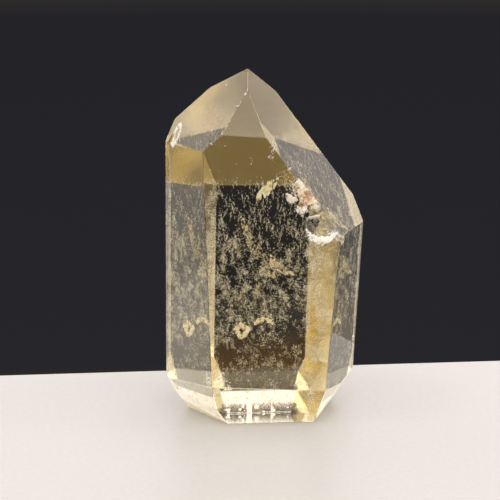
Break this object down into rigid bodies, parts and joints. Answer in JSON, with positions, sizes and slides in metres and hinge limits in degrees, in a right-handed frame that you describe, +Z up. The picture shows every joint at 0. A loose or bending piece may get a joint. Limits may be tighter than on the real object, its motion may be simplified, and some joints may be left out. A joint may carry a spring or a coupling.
{
  "type": "citrine crystal point",
  "caption": "Free-standing polished citrine crystal: a clear faceted prism with an off-centre pointed tip, a bevelled foot and a flat base.",
  "frame": {"origin": "centre of the crystal's outline on the plane of its flat base", "axes": "+Z up to the tip, -Y out of the broad front prism face, +X to the right seen from the front"},
  "size_m": [0.0396, 0.0306, 0.0698],
  "materials": {
    "citrine": "polished clear quartz, pale honey yellow, with fine white veils and fractures inside",
    "inclusions": "fine frosted flecks, veils and iron-stained fractures sealed in the crystal"
  },
  "bodies": {
    "root": {"citrine_point": "citrine"}
  },
  "joints": []
}
